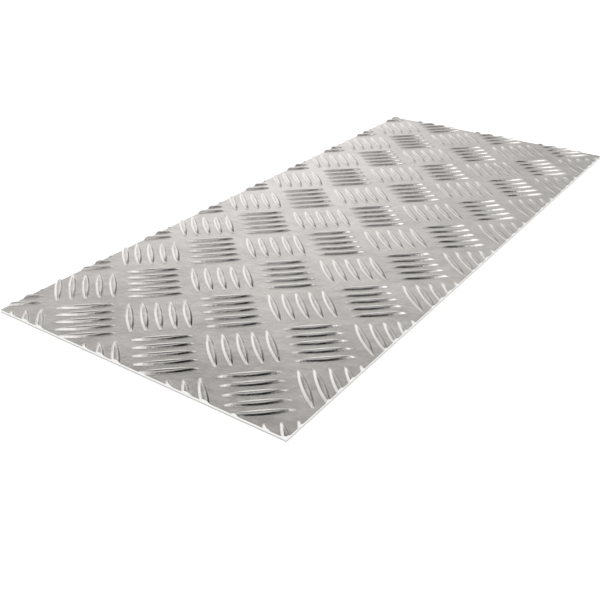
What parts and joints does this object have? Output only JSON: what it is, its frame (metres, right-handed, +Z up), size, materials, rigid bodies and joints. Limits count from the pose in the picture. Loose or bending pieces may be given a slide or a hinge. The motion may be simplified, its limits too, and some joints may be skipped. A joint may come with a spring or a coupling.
{
  "type": "tread plate",
  "caption": "Flat rectangular aluminium sheet with groups of raised lens-shaped bars rolled into its upper face, laid as slip-resistant flooring, steps or loading-bed cover.",
  "frame": {"origin": "centre of the underside, on the plane the plate lies on", "axes": "+X across the plate's width, +Y along its length away from the end nearest the picture's camera, +Z up through the tread"},
  "size_m": [0.2, 0.5, 0.0032],
  "materials": {
    "mill_aluminium": "mill finish, as rolled"
  },
  "bodies": {
    "root": {"tread_plate": "mill_aluminium"}
  },
  "joints": []
}
